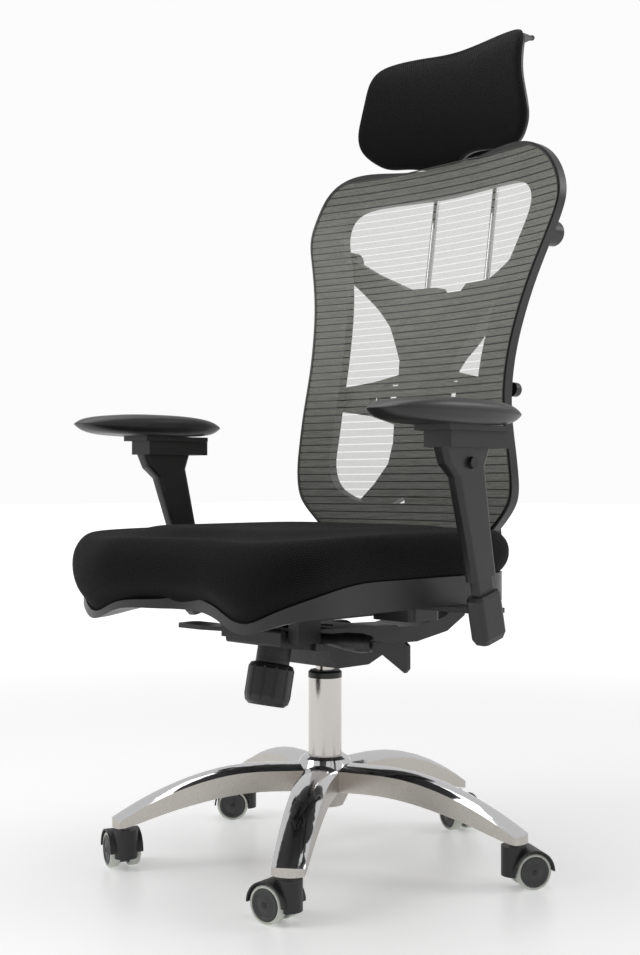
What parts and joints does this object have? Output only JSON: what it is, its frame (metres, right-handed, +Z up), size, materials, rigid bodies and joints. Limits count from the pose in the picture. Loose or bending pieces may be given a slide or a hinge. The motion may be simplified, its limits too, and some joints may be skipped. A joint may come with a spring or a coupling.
{
  "type": "swivel office chair",
  "caption": "High-back office chair with a mesh back, adjustable headrest and armrests, waterfall cushioned seat, tilt mechanism, gas lift and a star base on twin-wheel casters.",
  "frame": {"origin": "on the floor, under the swivel axis of the gas lift", "axes": "+Z up, the sitter faces -Y, +X to the sitter's left"},
  "size_m": [0.7262, 0.6972, 1.3074],
  "materials": {
    "polished_base": "polished",
    "satin_chrome": "satin",
    "steel": "brushed",
    "black_metal": "rough cast",
    "caster_tread": "matte",
    "black_plastic": "matte",
    "spacer_fabric": "woven",
    "back_net": "open mesh",
    "soft_pad": "soft",
    "control_plastic": "satin",
    "grey_plastic": "satin"
  },
  "bodies": {
    "base": {"star_base": "polished_base", "gas_lift_outer_tube": "satin_chrome", "column_collar": "black_plastic", "gas_lift_guide_bush": "black_plastic", "gas_lift_rod": "steel"},
    "lift": {"gas_lift_piston": "satin_chrome", "gas_lift_release_pin": "steel"},
    "mechanism": {"mechanism_housing": "black_metal", "pivot_pins": "steel"},
    "knob": {"tension_knob": "control_plastic"},
    "height_lever": {"height_lever": "control_plastic"},
    "lock_lever": {"tilt_lock_lever": "control_plastic"},
    "seat_plate": {"seat_plate": "black_metal", "slide_rails": "black_metal"},
    "seat": {"seat_pan": "grey_plastic", "seat_cushion": "spacer_fabric", "arm_bracket_right": "grey_plastic", "arm_bracket_left": "grey_plastic", "arm_post_right": "grey_plastic", "arm_post_left": "grey_plastic"},
    "back": {"back_frame": "grey_plastic", "back_mesh": "back_net", "back_spine": "grey_plastic", "spine_caps": "grey_plastic", "back_bracket": "black_metal"},
    "headrest_carrier": {"headrest_rods": "satin_chrome", "headrest_bracket": "grey_plastic", "headrest_pin": "steel"},
    "headrest": {"headrest_shell": "grey_plastic", "headrest_pad": "spacer_fabric"},
    "arm_right": {"arm_sleeve_right": "grey_plastic", "arm_block_right": "grey_plastic"},
    "trigger_right": {"arm_trigger_right": "control_plastic"},
    "pad_right": {"arm_slide_plate_right": "grey_plastic", "arm_pad_right": "soft_pad"},
    "arm_left": {"arm_sleeve_left": "grey_plastic", "arm_block_left": "grey_plastic"},
    "trigger_left": {"arm_trigger_left": "control_plastic"},
    "pad_left": {"arm_slide_plate_left": "grey_plastic", "arm_pad_left": "soft_pad"},
    "caster_1": {"caster_1_housing": "black_plastic", "caster_1_pins": "steel"},
    "caster_1_wheel_left": {"caster_1_wheel_left": "caster_tread"},
    "caster_1_wheel_right": {"caster_1_wheel_right": "caster_tread"},
    "caster_2": {"caster_2_housing": "black_plastic", "caster_2_pins": "steel"},
    "caster_2_wheel_left": {"caster_2_wheel_left": "caster_tread"},
    "caster_2_wheel_right": {"caster_2_wheel_right": "caster_tread"},
    "caster_3": {"caster_3_housing": "black_plastic", "caster_3_pins": "steel"},
    "caster_3_wheel_left": {"caster_3_wheel_left": "caster_tread"},
    "caster_3_wheel_right": {"caster_3_wheel_right": "caster_tread"},
    "caster_4": {"caster_4_housing": "black_plastic", "caster_4_pins": "steel"},
    "caster_4_wheel_left": {"caster_4_wheel_left": "caster_tread"},
    "caster_4_wheel_right": {"caster_4_wheel_right": "caster_tread"},
    "caster_5": {"caster_5_housing": "black_plastic", "caster_5_pins": "steel"},
    "caster_5_wheel_left": {"caster_5_wheel_left": "caster_tread"},
    "caster_5_wheel_right": {"caster_5_wheel_right": "caster_tread"}
  },
  "joints": [
    {"name": "lift_height", "type": "slide", "parent": "base", "child": "lift", "axis": [0, 0, 1], "range_m": [-0.008, 0.085]},
    {"name": "seat_swivel", "type": "hinge", "parent": "lift", "child": "mechanism", "pos_m": [0, 0, 0.32], "axis": [0, 0, 1], "continuous": true},
    {"name": "back_recline", "type": "hinge", "parent": "mechanism", "child": "back", "pos_m": [0, 0.085, 0.338], "axis": [-1, 0, 0], "range_deg": [0, 18], "stiffness_Nm_per_rad": 90, "springref_deg": -28.65},
    {"name": "seat_tilt", "type": "hinge", "parent": "mechanism", "child": "seat_plate", "pos_m": [0, -0.118, 0.356], "axis": [-1, 0, 0], "range_deg": [0, 4.5]},
    {"name": "seat_depth", "type": "slide", "parent": "seat_plate", "child": "seat", "axis": [0, -1, 0], "range_m": [0, 0.04]},
    {"name": "tension_turn", "type": "hinge", "parent": "mechanism", "child": "knob", "pos_m": [0, -0.108, 0.316], "axis": [0, 0.2079, 0.9781], "continuous": true},
    {"name": "height_lever_twist", "type": "hinge", "parent": "mechanism", "child": "height_lever", "pos_m": [0.05, -0.066, 0.347], "axis": [1, 0, 0], "range_deg": [0, 12], "stiffness_Nm_per_rad": 2, "springref_deg": -11.46},
    {"name": "lock_lever_twist", "type": "hinge", "parent": "mechanism", "child": "lock_lever", "pos_m": [-0.05, -0.066, 0.347], "axis": [1, 0, 0], "range_deg": [-10, 10]},
    {"name": "headrest_height", "type": "slide", "parent": "back", "child": "headrest_carrier", "axis": [0, 0.1564, 0.9877], "range_m": [0, 0.04]},
    {"name": "headrest_tilt", "type": "hinge", "parent": "headrest_carrier", "child": "headrest", "pos_m": [0, 0.336, 1.168], "axis": [1, 0, 0], "range_deg": [-12, 9]},
    {"name": "arm_height_right", "type": "slide", "parent": "seat", "child": "arm_right", "axis": [0.0371, -0.2588, 0.9652], "range_m": [-0.01, 0.055]},
    {"name": "trigger_press_right", "type": "slide", "parent": "arm_right", "child": "trigger_right", "axis": [-1, 0, 0], "range_m": [0, 0.0025], "stiffness_N_per_m": 500, "springref_m": -0.002},
    {"name": "pad_slide_right", "type": "slide", "parent": "arm_right", "child": "pad_right", "axis": [0, 1, 0], "range_m": [-0.03, 0.03]},
    {"name": "arm_height_left", "type": "slide", "parent": "seat", "child": "arm_left", "axis": [-0.0371, -0.2588, 0.9652], "range_m": [-0.01, 0.055]},
    {"name": "trigger_press_left", "type": "slide", "parent": "arm_left", "child": "trigger_left", "axis": [1, 0, 0], "range_m": [0, 0.0025], "stiffness_N_per_m": 500, "springref_m": -0.002},
    {"name": "pad_slide_left", "type": "slide", "parent": "arm_left", "child": "pad_left", "axis": [0, 1, 0], "range_m": [-0.03, 0.03]},
    {"name": "caster_1_swivel", "type": "hinge", "parent": "base", "child": "caster_1", "pos_m": [0.28532, 0.0927, 0.03], "axis": [0, 0, 1], "continuous": true},
    {"name": "caster_1_wheel_left_spin", "type": "hinge", "parent": "caster_1", "child": "caster_1_wheel_left", "pos_m": [0.29632, 0.11176, 0.026], "axis": [-0.866, 0.5, 0], "continuous": true},
    {"name": "caster_1_wheel_right_spin", "type": "hinge", "parent": "caster_1", "child": "caster_1_wheel_right", "pos_m": [0.29632, 0.11176, 0.026], "axis": [-0.866, 0.5, 0], "continuous": true},
    {"name": "caster_2_swivel", "type": "hinge", "parent": "base", "child": "caster_2", "pos_m": [0, 0.3, 0.03], "axis": [0, 0, 1], "continuous": true},
    {"name": "caster_2_wheel_left_spin", "type": "hinge", "parent": "caster_2", "child": "caster_2_wheel_left", "pos_m": [0.02104, 0.29357, 0.026], "axis": [0.2924, 0.9563, 0], "continuous": true},
    {"name": "caster_2_wheel_right_spin", "type": "hinge", "parent": "caster_2", "child": "caster_2_wheel_right", "pos_m": [0.02104, 0.29357, 0.026], "axis": [0.2924, 0.9563, 0], "continuous": true},
    {"name": "caster_3_swivel", "type": "hinge", "parent": "base", "child": "caster_3", "pos_m": [-0.28532, 0.0927, 0.03], "axis": [0, 0, 1], "continuous": true},
    {"name": "caster_3_wheel_left_spin", "type": "hinge", "parent": "caster_3", "child": "caster_3_wheel_left", "pos_m": [-0.30004, 0.07636, 0.026], "axis": [0.7431, -0.6691, 0], "continuous": true},
    {"name": "caster_3_wheel_right_spin", "type": "hinge", "parent": "caster_3", "child": "caster_3_wheel_right", "pos_m": [-0.30004, 0.07636, 0.026], "axis": [0.7431, -0.6691, 0], "continuous": true},
    {"name": "caster_4_swivel", "type": "hinge", "parent": "base", "child": "caster_4", "pos_m": [-0.17634, -0.24271, 0.03], "axis": [0, 0, 1], "continuous": true},
    {"name": "caster_4_wheel_left_spin", "type": "hinge", "parent": "caster_4", "child": "caster_4_wheel_left", "pos_m": [-0.19673, -0.23446, 0.026], "axis": [-0.3746, -0.9272, 0], "continuous": true},
    {"name": "caster_4_wheel_right_spin", "type": "hinge", "parent": "caster_4", "child": "caster_4_wheel_right", "pos_m": [-0.19673, -0.23446, 0.026], "axis": [-0.3746, -0.9272, 0], "continuous": true},
    {"name": "caster_5_swivel", "type": "hinge", "parent": "base", "child": "caster_5", "pos_m": [0.17634, -0.24271, 0.03], "axis": [0, 0, 1], "continuous": true},
    {"name": "caster_5_wheel_left_spin", "type": "hinge", "parent": "caster_5", "child": "caster_5_wheel_left", "pos_m": [0.15458, -0.24596, 0.026], "axis": [0.1478, -0.989, 0], "continuous": true},
    {"name": "caster_5_wheel_right_spin", "type": "hinge", "parent": "caster_5", "child": "caster_5_wheel_right", "pos_m": [0.15458, -0.24596, 0.026], "axis": [0.1478, -0.989, 0], "continuous": true}
  ],
  "couplings": [
    {"joint": "seat_tilt", "follows": "back_recline", "ratio": 0.25}
  ]
}
